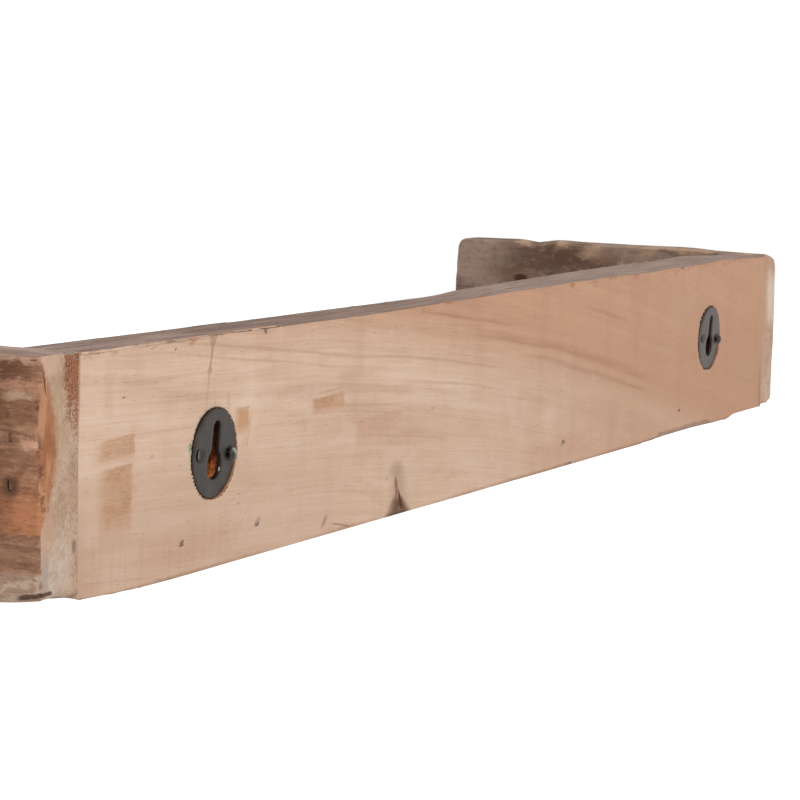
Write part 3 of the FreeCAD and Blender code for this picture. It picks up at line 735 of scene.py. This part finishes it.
def left_shape(points, normals):
    """Square the front corner, wear the top down there and in the notch, and round the rear corners."""
    x, y, z = points.T.copy()
    high = ease(z, left_high.z - 0.025, left_high.z - 0.003)
    front = 1 - ease(y, left_low.y + 0.02, left_low.y + 0.06)
    notch = np.exp(-((y - NOTCH_Y) / NOTCH_HALF) ** 2)
    beyond = np.exp(-((y - NOTCH_Y - BEYOND_Y) / BEYOND_HALF) ** 2)
    rear = ease(y, -0.07, 0.0)
    worn = FRONT_WEAR * front + NOTCH_WEAR * notch - BEYOND_RISE * beyond + REAR_WEAR * rear
    lean = (1 - ease(y, left_low.y, left_low.y + 0.02)) * ease(z, left_high.z - 0.03, left_high.z)
    across = np.clip((left_low.y - y) / FRONT_ROUND + 1, 0, 1)
    up = np.clip((z - left_high.z) / FRONT_ROUND + 1, 0, 1)
    squared = (across ** FRONT_SQUARE + up ** FRONT_SQUARE) ** (1 / FRONT_SQUARE)
    drawn = (np.hypot(across, up) / np.maximum(squared, WELD) - 1) * FRONT_ROUND
    points[:, 2] += drawn * up - high * worn
    points[:, 1] += FRONT_LEAN * lean - drawn * across
    rear_heights = points[y > -0.006, 2]
    turned = ease(y, -0.06, -0.005)
    round_corner(points, turned, (left_low.x, rear_heights.max()), TOP_CORNER)
    round_corner(points, turned, (left_low.x, rear_heights.min()), LOW_CORNER)
    points[:, 0] -= REAR_SPREAD * ease(-x, 0.395, 0.399) * ease(y, -0.06, -0.03)
    return points


def right_shape(points, normals):
    """Wear the heel up at the outer rear corner."""
    x, y, z = points.T.copy()
    heel = ease(y, -0.06, -0.02) * ease(x, 0.381, 0.39)
    points[:, 2] += HEEL_WEAR * heel * (1 - ease(z, right_low.z + 0.004, right_low.z + 0.014))
    return points


def side_places(wood):
    """Where a point is on a side board: across, back from the rear, up from the foot, and its lean."""
    x, y, z = wood.place()
    return x, -y, z - rail_low.z, wood.lean()


def end_grain(wood, x, back, rise, pale, dusty):
    """Sawn end of a board: dusty, with pores and faint growth rings."""
    cloud = wood.noise(x * 70, back * 60, rise * 45, 4.0, 0.6)
    ring = wood.noise(x * 160, back * 160, rise * 18 + cloud * 1.5, 2.0)
    pore = wood.noise(x * 900, back * 900, rise * 700, 2.0)
    mottle = wood.noise(x * 280, back * 280, rise * 190, 4.0, 0.7)
    colour = stained(
        cloud.rise(0.35, 0.65).paint(dusty, pale),
        (ring.rise(0.5, 0.7), 0.25, (150, 120, 98)),
        (mottle.rise(0.5, 0.66), 0.36, (142, 112, 90)),
        ((1 - mottle).rise(0.5, 0.66), 0.36, (214, 188, 166)),
        (pore.rise(0.54, 0.72), 0.5, (136, 106, 86)),
    )
    return colour, cloud * 0.5 - pore * 0.5


# Rust dots on the outer face of the right side: back from the rear end, up from the foot
RUST_DOTS = ((0.0015, 0.073), (0.0014, 0.0615), (0.0016, 0.0575), (0.014, 0.07))
RUST_DOT_SIZE = (0.0007, 0.0009)


def near_outer_face(wood, skin, back, rise, wander):
    """Bands of old stain across the outer face of the right side, from the foot up."""
    high = rise + wander
    sloped = high + back * 0.08
    bleached = 1 - (high + back * 0.06).rise(0.0128, 0.0158)
    scrape = (high + back * 0.3).near(0.0125, 0.001, 0.0008)
    scrape = scrape.most((high + back * 0.34).near(0.0082, 0.0008, 0.0007))
    grey = high.window(0.015, 0.0268, 0.0012, 0.001)
    seam = sloped.near(0.0274, 0.0007, 0.0006)
    orange = sloped.rise(0.0265, 0.0292) * (1 - high.rise(0.036, 0.052))
    glow = ellipse(back, high, (0.005, 0.0345), (0.005, 0.006), 0.7)
    smear = ellipse(back + rise * 0.7, rise, (0.0434, 0.049), (0.0016, 0.004), 0.6)
    patch = ellipse(back, high, (0.0046, 0.06), (0.0032, 0.0018), 0.5)
    dots = [ellipse(back, rise, dot, RUST_DOT_SIZE, 0.5) for dot in RUST_DOTS]
    gloom = back.rise(0.01, 0.02) * high.window(0.028, 0.08, 0.006, 0.01)
    streak = high.near(0.0772, 0.0012, 0.0008) * back.window(0.0036, 0.015, 0.003, 0.004)
    pink = high.near(0.0808, 0.002, 0.0012)
    soot = ellipse(back, high, (0.019, 0.0858), (0.012, 0.0034), 0.5)
    top = high.rise(0.088, 0.09)
    rough = wood.noise(back * 260, 0.0, rise * 720, 4.0, 0.7)
    return stained(
        skin,
        (bleached, 0.8, (164, 136, 119)),
        (scrape * bleached, 0.55, (206, 182, 162)),
        (orange, 0.62, (164, 102, 68)),
        (glow, 0.5, (196, 132, 92)),
        (seam, 0.5, (92, 60, 44)),
        (pink, 0.6, (184, 134, 108)),
        (streak, 0.7, (196, 164, 138)),
        (patch, 0.7, (206, 160, 132)),
        (soot, 0.7, (84, 54, 36)),
        (top, 0.7, (188, 150, 128)),
        *((dot, 0.7, (104, 54, 38)) for dot in dots),
        (smear, 0.5, (116, 72, 48)),
        (grey, 0.4, (112, 82, 66)),
        (gloom, 0.35, (86, 58, 42)),
        (rough.rise(0.52, 0.7), 0.56, (90, 58, 42)),
        ((1 - rough).rise(0.54, 0.72), 0.44, (206, 166, 140)),
    )


def near_rear_end(wood, x, back, rise, wander):
    """The sawn rear end of the right side: rust beside the joint, olive and pale dust elsewhere."""
    colour, height = end_grain(wood, x, back, rise, shade(191, 161, 137), shade(174, 142, 118))
    high = rise + wander
    olive = ellipse(x, high, (0.3885, 0.074), (0.0026, 0.016), 0.6)
    corner = ellipse(x, high, (0.395, 0.089), (0.006, 0.005), 0.6)
    dust = ellipse(x, high, (0.3915, 0.0145), (0.0085, 0.0115), 0.7)
    fuzz = wood.noise(x * 220 + rise * 160, back * 90, rise * 220 - x * 90, 4.0, 0.65)
    slate = ellipse(x, high, (0.398, 0.015), (0.0024, 0.007), 0.6)
    colour = stained(
        colour,
        (olive, 0.5, (182, 158, 128)),
        (corner, 0.6, (208, 170, 146)),
        (dust, fuzz.rise(0.3, 0.7) * 0.6 + 0.2, (202, 186, 171)),
        (slate, 0.55, (150, 138, 130)),
    )

    speck = wood.noise(x * 1500, back * 1500, rise * 1100, 2.0, 0.6)
    clump = wood.noise(x * 330, back * 330, rise * 200, 3.0, 0.6)
    reach = rise.rise(0.045, 0.088)
    beside = x.window(0.3755, 0.3795 + reach * 0.006, 0.0005, 0.0025)
    rusty = beside * (reach * 0.62 + 0.1) + (speck - 0.5) * 2.2 + (clump - 0.5) * 1.2
    tone = clump.rise(0.36, 0.62).paint(shade(96, 50, 28), shade(150, 88, 54))
    tone = (1 - reach.rise(0.2, 0.6)).paint(tone, shade(104, 64, 46))
    colour = (rusty.rise(0.2, 0.74) * (beside * 0.7 + 0.2)).paint(colour, tone)
    tan = ellipse(x, high, (0.3975, 0.03), (0.004, 0.01), 0.7)
    fleck = speck.rise(0.62, 0.7) * x.window(0.377, 0.386, 0.001, 0.003) * rise.rise(0.04, 0.055)
    nail = ellipse(x, rise, (0.3787, 0.0216), (0.0014, 0.002), 0.5)
    colour = stained(
        colour,
        (tan, 0.5, (192, 150, 122)),
        (fleck, 0.7, (92, 58, 42)),
        (nail, 0.6, (104, 80, 62)),
    )
    return colour, height


def worn_facet(wood, x, back, rise, grit):
    """The scooped rear arris of the right side: where it is, and its fresher orange wood."""
    centred = (rise - 0.06) / 0.029
    width = 0.0107 * (1 - centred * centred)
    where = (width + grit * 0.006 - (right_high.x - x)).rise(-0.0026, 0.002)
    where = where * (0.004 - back).rise(0.0, 0.001)
    strand = wood.noise(x * 320, back * 300, rise * 60, 4.0, 0.6).rise(0.34, 0.66)
    bruise = ellipse(x, rise, (0.3978, 0.0495), (0.0014, 0.012), 0.7) * (grit + 0.5).rise(0.4, 0.58)
    slit = ellipse(x - (rise - 0.083) * 0.28, rise, (0.3975, 0.083), (0.0005, 0.005), 0.5)
    colour = stained(
        strand.paint(shade(148, 94, 64), shade(184, 134, 100)),
        (bruise, 0.8, (98, 62, 52)),
        (slit, 0.9, (96, 54, 40)),
    )
    return where, colour


def right_finish():
    """Weathered timber of the right side, with its stained outer face and its worn rear arris."""
    finish, wood = new_finish("right_side_timber")
    x, back, rise, lean = side_places(wood)
    skin, skin_height = old_skin(wood, back, rise, x, 11.0, shade(124, 84, 60), shade(180, 135, 106))
    grit = wood.noise(x * 300, back * 300, rise * 500, 3.0, 0.6) - 0.5
    wander = (wood.noise(x * 40, back * 60, rise * 120, 3.0) - 0.5) * 0.006
    wander = wander + (wood.noise(x * 200, back * 260, rise * 420, 3.0, 0.6) - 0.5) * 0.006
    outer = near_outer_face(wood, skin, back, rise, wander)
    end, end_height = near_rear_end(wood, x, back, rise, wander)
    where, facet = worn_facet(wood, x, back, rise, grit)
    top, top_height = old_skin(wood, back, x, rise, 3.0, shade(132, 106, 92), shade(178, 154, 140))
    rear = (lean[1] + grit * 0.3).rise(0.35, 0.55) * (1 - back.rise(0.005, 0.007))
    colour = stained(skin, (rubbed_arris(lean, grit), 0.5, (184, 150, 126)))
    colour = rear.paint(colour, end)
    colour = (lean[0] + grit * 0.2).rise(0.5, 0.7).paint(colour, outer)
    colour = where.paint(colour, facet)
    colour = (where * (x + grit * 0.001).rise(0.398, 0.399)).paint(colour, outer)
    colour = (lean[2] + grit * 0.4).rise(0.55, 0.8).paint(colour, top)

    # A split along the foot of the heel, painted dark as the shadow under its lifted splinter, and the
    # dark pits of the nails
    heel = 1 - back / 0.046
    split_and_shadow = (rise - heel * heel * 0.0037 + grit * 0.002).near(0.003, 0.0007, 0.0004)
    split_and_shadow = split_and_shadow * (1 - (back + 0.3 * (right_high.x - x)).rise(0.007, 0.0105)) * (x - 0.392).rise(0.0, 0.002)
    colour = stained(colour, (split_and_shadow, 0.9, (70, 44, 32)))
    outside = (x - 0.385).rise(0.0, 0.002)
    for height, weight in zip(RIGHT_NAIL_RISES, NAIL_PIT_WEIGHTS):
        pit = ellipse(back, rise, (-rail_low.y / 2, height), (0.003, 0.0034), 0.6) * outside
        colour = stained(colour, (pit, weight, (82, 54, 38)))
    height = skin_height * (1 - rear) + end_height * rear * 0.7 - split_and_shadow
    close_finish(wood, colour, grit * 0.3 + 0.78, height, SIDE_RELIEF, SIDE_GLOSS)
    return finish


def left_finish():
    """Weathered timber of the left side: stained and spotted inside, rubbed bare along its top."""
    finish, wood = new_finish("left_side_timber")
    x, back, rise, lean = side_places(wood)
    skin, skin_height = old_skin(wood, back, rise, x, 23.0, shade(111, 89, 77), shade(157, 134, 119), 0.2)
    grit = wood.noise(x * 300, back * 300, rise * 500, 3.0, 0.6) - 0.5
    cloud = wood.noise(x * 30, back * 60 + 5, rise * 110, 4.0, 0.55)
    blotch = wood.noise(x * 90, back * 150, rise * 240, 4.0, 0.6)
    inner = lean[0].rise(-0.8, -0.2) * 0.8 + 0.2
    stain = ellipse(back + (cloud - 0.5) * 0.05, rise, (0.138, 0.078), (0.03, 0.012), 0.8)
    brown = cloud.rise(0.52, 0.66) * (1 - back.rise(0.1, 0.14))
    tan = (1 - cloud).rise(0.49, 0.62) * (1 - back.rise(0.1, 0.13))
    halo = ellipse(back, rise, (0.16, 0.0715), (0.009, 0.004), 0.8)
    spot = ellipse(back, rise, (0.1575, 0.0705), (0.004, 0.0022), 0.5)
    colour = stained(
        skin,
        (stain, cloud.rise(0.3, 0.6) * 0.5 + 0.4, (97, 71, 58)),
        (blotch.rise(0.52, 0.68), 0.4, (88, 68, 58)),
        ((1 - blotch).rise(0.54, 0.7), 0.35, (168, 142, 122)),
        (brown, 0.5, (148, 114, 92)),
        (tan * inner, 0.62, (192, 157, 126)),
        (halo * inner, 0.35, (112, 66, 52)),
        (spot * inner, 0.9, (66, 32, 22)),
    )
    slant = back + (x + 0.38) * 0.35 + grit * 0.012 + (blotch - 0.5) * 0.02
    bared = slant.near(0.156, 0.0045, 0.0035).most(slant.near(0.131, 0.0045, 0.0035))
    bared = bared * (rise + grit * 0.006 + cloud * 0.004).rise(0.0905, 0.095)
    loose_back = back + (blotch - 0.5) * 0.02
    rubbed = ellipse(loose_back, rise + grit * 0.006, (0.111, 0.0868), (0.007, 0.002), 0.8)
    bared = bared.most(rubbed * 0.5)
    arris = rubbed_arris(lean, grit) * 0.2
    colour = arris.most(bared * 0.8).paint(colour, shade(192, 160, 132))

    # The sawn rear end: palest in the middle, redder beside the joint and at the top
    end, end_height = end_grain(wood, x, back, rise, shade(204, 175, 152), shade(182, 150, 126))
    lighter = rise.window(0.05, 0.08, 0.005, 0.008) * (-0.382 - x).rise(-0.002, 0.009)
    end = stained(
        end,
        (lighter, 0.6, (226, 206, 186)),
        ((x + 0.385).rise(-0.006, 0.004), 0.75, (190, 151, 125)),
        (rise.rise(0.076, 0.088), 0.7, (186, 144, 116)),
    )
    rear = (lean[1] + grit * 0.3).rise(0.45, 0.65) * (1 - back.rise(0.005, 0.007))
    colour = rear.paint(colour, end)
    height = skin_height * (1 - rear) + end_height * rear * 0.7
    close_finish(wood, colour, grit * 0.3 + 0.78, height, SIDE_RELIEF, SIDE_GLOSS)
    return finish


for node, joint_x, seed, shape, finish in (
    ("right_side", right_low.x, 61, right_shape, right_finish()),
    ("left_side", left_high.x, 71, left_shape, left_finish()),
):
    side_mesh = cell_mesh(node, step=0.0024)
    wear(
        side_mesh, side_keep(node, joint_x), shape, seed, chip=0.0011,
        wave=0.0005, wave_cell=(0.03, 0.045, 0.03), ridge=0.00018, ridge_cell=(0.004, 0.05, 0.004),
    )
    piece("weathered_" + node, side_mesh, finish, node)


# Shelf board: the bottom board that carries what stands on the shelf, butted between the sides and
# against the rail and nailed from all three. Old floor timber, rubbed smooth along its front edge.


def shelf_keep(points, normals):
    """Still on the butted ends and rear edge, and in the nail holes."""
    x, y, z = points.T
    low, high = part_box("shelf_board")
    ends = np.minimum(x - low.x, high.x - x) < 0.0008
    sunk = (np.minimum(z - low.z, high.z - z) > 0.004) & (y > low.y + 0.004)
    return 1.0 * ~ends * ~sunk * (y < high.y - 0.0008)


def shelf_finish():
    """Old floor timber with saw marks, stained on top and rubbed pale along the front."""
    finish, wood = new_finish("shelf_board_timber")
    x, y, z = wood.place()
    lean = wood.lean()
    skin, skin_height = old_skin(wood, x, y, z, 37.0, shade(126, 97, 80), shade(174, 146, 124))
    grit = wood.noise(x * 300, y * 500, z * 500, 3.0, 0.6) - 0.5
    stain = wood.noise(x * 9, y * 16, z * 16, 4.0, 0.6)
    saw = wood.noise(x * 260, y * 6, z * 6, 1.0)
    colour = stained(skin, (stain.rise(0.54, 0.7), 0.45, (98, 70, 54)))
    rubbed = (grit * 0.6 - lean[1]).rise(0.25, 0.7) * 0.6
    colour = rubbed.most(rubbed_arris(lean, grit) * 0.6).paint(colour, shade(190, 156, 130))
    height = skin_height + saw * 0.15
    close_finish(wood, colour, grit * 0.3 + 0.75, height, relief=0.0007, gloss=0.2)
    return finish


shelf_mesh = cell_mesh("shelf_board", step=0.0032)
wear(
    shelf_mesh, shelf_keep, lambda points, normals: points, seed=81, chip=0.0009,
    wave=0.0005, wave_cell=(0.15, 0.04, 0.04), ridge=0.00014, ridge_cell=(0.05, 0.005, 0.005),
)
piece("old_shelf_board", shelf_mesh, shelf_finish(), "shelf_board")


# Keyhole plates: two punched discs of blackened steel, sunk in the rail's bored seats, each with an
# entry hole for a screw's head and a narrower slot above that holds the screw's neck.
PLATE_CELL = 0.0025
PLATE_BURR = 0.0002
TACK_OFFSET = 0.01265
PLATE_LIFT = 0.0014
PLATE_SIZE = 1.015
PLATE_LEAN = math.radians(-3.0)
PLATE_TURN = math.radians(2.2)
PLATE_SKEW = math.radians(-3.0)
STEEL_RELIEF = 0.00008
COUNTERSINK_SHADOW_SIZE = (0.0027, 0.0029)
COUNTERSINK_SHADOW_SHIFTS = (0.0012, 0.0013)
COUNTERSINK_SHADOW_WEIGHTS = ((0.3, 0.85), (0.85, 0.85))
GLINT_PLACE = Vector((-0.0055, 0, -0.0068))
GLINT_SIZE = (0.0007, 0.0007)


def seating(middle):
    """A plate sits almost flush and a little askew, with its top and its right edge proud."""
    turn = Matrix.Rotation(PLATE_TURN, 4, "Z") @ Matrix.Rotation(PLATE_LEAN, 4, "X")
    turn = turn @ Matrix.Rotation(PLATE_SKEW, 4, "Y") @ Matrix.Diagonal((PLATE_SIZE, 1, PLATE_SIZE, 1))
    return Matrix.Translation(middle + Vector((0, PLATE_LIFT, 0))) @ turn @ Matrix.Translation(-middle)


def plate_finish():
    """Blackened steel, painted lighter on the left plate as a sheen, with painted shadow beside the
    nails' heads and one painted glint at the entry's edge.
    """
    finish, steel = new_finish("blackened_steel")
    x, y, z = steel.place()
    cloud = steel.noise(x * 120, y * 120, z * 120, 4.0, 0.6)
    freckle = steel.noise(x * 700, y * 700, z * 700, 3.0, 0.6).rise(0.62, 0.74)
    # The left plate is painted lighter: a painted sheen
    left_plate_sheen = 1 - x.rise(-0.01, 0.01)
    # Painted shadow beside each nail's head, where its countersink and its rim lie in shade
    countersink_shadow = 0.0
    for middle, weights in zip(plate_middles, COUNTERSINK_SHADOW_WEIGHTS):
        for side, shift, weight in zip((1, -1), COUNTERSINK_SHADOW_SHIFTS, weights):
            along = side * TACK_OFFSET
            place = (middle.x + along + shift, middle.z - along * math.sin(PLATE_SKEW))
            countersink_shadow = (ellipse(x, z, place, COUNTERSINK_SHADOW_SIZE, 0.12) * weight).most(countersink_shadow)
    # A painted glint: a small white spot on the inner edge of the right plate's entry
    glint_place = plate_middles[1] + GLINT_PLACE
    glint = ellipse(x, z, (glint_place.x, glint_place.z), GLINT_SIZE, 0.5)
    glint = glint * y.window(-0.0013, -0.0008, 0.0002, 0.0002)
    colour = stained(
        cloud.rise(0.35, 0.7).paint(shade(55, 49, 45), shade(72, 65, 60)),
        (left_plate_sheen, 0.32, (122, 112, 106)),
        (freckle, 0.45, (72, 54, 46)),
        (countersink_shadow, 1.0, (22, 18, 16)),
        (glint, 1.0, (255, 255, 250)),
    )
    close_finish(steel, colour, cloud * 0.2 + 0.42, cloud, STEEL_RELIEF, metal=0.75)
    return finish


plate_steel = plate_finish()
for hand, middle in zip(("left", "right"), plate_middles):
    node = "keyhole_plate_" + hand
    plate_mesh = cell_mesh(node, PLATE_CELL, PLATE_BURR)
    plate_mesh.transform(seating(middle))
    piece("punched_" + node, plate_mesh, plate_steel, node)


# Plate nails: in each plate one nail is driven home askew in its countersink, and the other stands a
# little proud with its domed head. Both are of dull grey steel.
TACK_CELL = 0.0012
DOME_LIFT = 0.0017
DOME_SIZE = 1.1
DOME_DROP = 0.0009
FLUSH_TILT = -0.28
FLUSH_SIZE = 0.84
HEAD_DEPTH = 0.0022


def nail_finish():
    """Dull steel with painted light, the heads lit facing up and -X and in painted shade facing +X: the
    driven nails dark, the domed ones lighter with a green cast, the far one black.
    """
    finish, steel = new_finish("dull_nail_steel")
    x, y, z = steel.place()
    lean = steel.lean()
    cloud = steel.noise(x * 500, y * 500, z * 500, 3.0, 0.6)
    far, near = plate_middles
    at_right = x.rise(-0.01, 0.01)
    driven = (x - far.x - at_right * (near.x - far.x)).rise(-0.001, 0.001)
    # Painted light on the heads: lit where they face up and towards -X, painted shade where they face +X
    lit = (lean[2] * 0.5 - lean[0]).rise(-0.35, 0.45)
    domed = at_right.paint(shade(52, 48, 48), lit.paint(shade(44, 44, 40), shade(164, 170, 156)))
    flush = at_right.paint(shade(92, 84, 80), lit.paint(shade(14, 12, 12), shade(112, 110, 110)))
    colour = stained(driven.paint(domed, flush), (cloud.rise(0.45, 0.7), 0.4, (64, 58, 54)))
    close_finish(steel, colour, cloud * 0.25 + 0.28, cloud, STEEL_RELIEF, metal=0.6)
    return finish


nail_steel = nail_finish()
for hand, middle in zip(("left", "right"), plate_middles):
    node = "plate_nails_" + hand
    tacks = cell_mesh(node, TACK_CELL)
    for vertex in tacks.verts:
        domed = vertex.co.x < middle.x
        axis = middle.x - TACK_OFFSET if domed else middle.x + TACK_OFFSET
        if vertex.co.y > middle.y - HEAD_DEPTH:
            size = DOME_SIZE if domed else FLUSH_SIZE
            vertex.co.x = axis + (vertex.co.x - axis) * size
            vertex.co.z = middle.z + (vertex.co.z - middle.z) * size
        if domed:
            vertex.co.y += DOME_LIFT
            vertex.co.z -= DOME_DROP
        elif vertex.co.y > middle.y - HEAD_DEPTH:
            vertex.co.y -= FLUSH_TILT * (vertex.co.x - axis)
    tacks.transform(seating(middle))
    piece("driven_" + node, tacks, nail_steel, node)


# Carcass nails: flat-wire iron brads, driven through the sides into the rail and the shelf board, and
# through the rail into the shelf board's rear edge, and punched below the surface. They are rusty: brown
# where they show in the right side, and dusty in the rail's planed face.
BRAD_CELL = 0.006
BRAD_BEVEL = 0.0001
NO_LIFT = (0, 0, 0)
RIGHT_LIFT = (0.0007, 0, 0)
BACK_LIFT = (0, 0.0009, 0)


def iron_finish(name, dark, pale, rust, rough):
    """Dull iron: cloudy, with fine scratches and freckles of rust."""
    finish, iron = new_finish(name)
    x, y, z = iron.place()
    cloud = iron.noise(x * 120, y * 120, z * 120, 4.0, 0.6)
    scratch = iron.noise(x * 2400, y * 300, z * 260, 2.0)
    freckle = iron.noise(x * 700, y * 700, z * 700, 3.0, 0.6).rise(0.62, 0.72)
    colour = stained(
        cloud.rise(0.35, 0.7).paint(shade(*dark), shade(*pale)),
        (scratch.rise(0.6, 0.75), 0.25, pale),
        (freckle, 0.5, rust),
    )
    roughness = cloud * 0.2 + freckle * 0.2 + rough
    close_finish(iron, colour, roughness, cloud * 0.6 + scratch * 0.4, STEEL_RELIEF)
    return finish


def brads(iron, lift, *nodes):
    """Groups of brads of one iron, lifted a little in their holes."""
    for node in nodes:
        brad_mesh = cell_mesh(node, BRAD_CELL, BRAD_BEVEL)
        bmesh.ops.translate(brad_mesh, verts=brad_mesh.verts, vec=lift)
        piece("punched_" + node, brad_mesh, iron, node)


rusty_iron = iron_finish("rusty_brad_iron", (52, 38, 30), (82, 60, 46), (92, 56, 38), 0.8)
brown_iron = iron_finish("brown_iron", (104, 72, 54), (140, 98, 74), (96, 60, 42), 0.85)
dusty_iron = iron_finish("dusty_iron", (130, 110, 94), (166, 142, 122), (110, 76, 56), 0.8)
brads(rusty_iron, NO_LIFT, "left_rail_nails", "left_shelf_nails", "right_shelf_nails")
brads(brown_iron, RIGHT_LIFT, "right_rail_nails")
brads(dusty_iron, BACK_LIFT, "back_nails")


# Floor and light: a pale floor well below the shelf and soft studio light from all round, with a
# broad lamp behind the camera and a smaller one beside it. Seen directly, floor and air are white.
FLOOR_DROP = 1.2
FLOOR_HALF = 15.0
FLOOR_GLOW = 0.65
AMBIENT = 0.72
WHITE = (1.0, 1.0, 1.0, 1.0)
PALE_GREY = (0.8, 0.8, 0.8, 1.0)


def seen_ray(wire):
    """1 for rays that show a background to the camera, straight, in a reflection or through glass."""
    straight = wire.node("LightPath", {}, {}, "Is Camera Ray")
    mirrored = straight.beside("Is Glossy Ray")
    refracted = straight.beside("Is Transmission Ray")
    return (straight + mirrored + refracted).least(1.0)


floor_z = cad_low.z - FLOOR_DROP
floor_signs = ((-1, -1), (1, -1), (1, 1), (-1, 1))
floor_corners = [(x * FLOOR_HALF, y * FLOOR_HALF, floor_z) for x, y in floor_signs]
floor_data = bpy.data.meshes.new("floor")
floor_data.from_pydata(floor_corners, [], [(0, 1, 2, 3)])
floor_finish, paper = new_finish("pale_floor")
matt = paper.node("BsdfDiffuse", {}, {"Color": PALE_GREY})
glow = paper.node("Emission", {}, {"Color": WHITE, "Strength": FLOOR_GLOW})
lit = paper.node("AddShader", {}, {0: matt, 1: glow})
shown = paper.node("MixShader", {}, {0: seen_ray(paper), 1: matt, 2: lit})
paper.node("OutputMaterial", {}, {"Surface": shown})
floor_data.materials.append(floor_finish)
floor = bpy.data.objects.new("floor", floor_data)
bpy.context.scene.collection.objects.link(floor)

world = bpy.data.worlds.new("studio")
world.use_nodes = True
world.node_tree.nodes.clear()
air = Wire(world.node_tree)
sky = air.node("Background", {}, {"Color": WHITE, "Strength": AMBIENT + seen_ray(air) * (1 - AMBIENT)})
air.node("OutputWorld", {}, {"Surface": sky})
bpy.context.scene.world = world


def lamp(name, place, size, power):
    """A square lamp that faces the shelf."""
    data = bpy.data.lights.new(name, "AREA")
    data.shape = "SQUARE"
    data.size = size
    data.energy = power
    made = bpy.data.objects.new(name, data)
    made.location = place
    made.rotation_euler = (-Vector(place)).to_track_quat("-Z", "Y").to_euler()
    bpy.context.scene.collection.objects.link(made)


lamp("key_lamp", place=(0.9, 2.2, 1.6), size=1.6, power=27.0)
lamp("side_lamp", place=(2.2, 0.6, 0.9), size=1.4, power=9.0)


# Camera: it stands behind the wall side, beyond the right end and a little above the shelf, and looks
# along the rail. A long lens keeps the far end large.
CAMERA_PLACE = (1.231198, 0.542597, 0.142563)
YAW = math.radians(25.8811)
PITCH = math.radians(6.3425)
ROLL = math.radians(1.0844)
LENS = 127.75
SENSOR = 36.0
sight = Vector((-math.cos(YAW) * math.cos(PITCH), -math.sin(YAW) * math.cos(PITCH), -math.sin(PITCH)))
turn = sight.to_track_quat("-Z", "Y").to_matrix() @ Matrix.Rotation(ROLL, 3, "Z")
camera = bpy.data.objects.new("camera", bpy.data.cameras.new("camera"))
camera.data.lens = LENS
camera.data.sensor_width = SENSOR
camera.matrix_world = Matrix.Translation(CAMERA_PLACE) @ turn.to_4x4()
bpy.context.scene.collection.objects.link(camera)
bpy.context.scene.camera = camera
bpy.context.scene.view_settings.view_transform = "Standard"
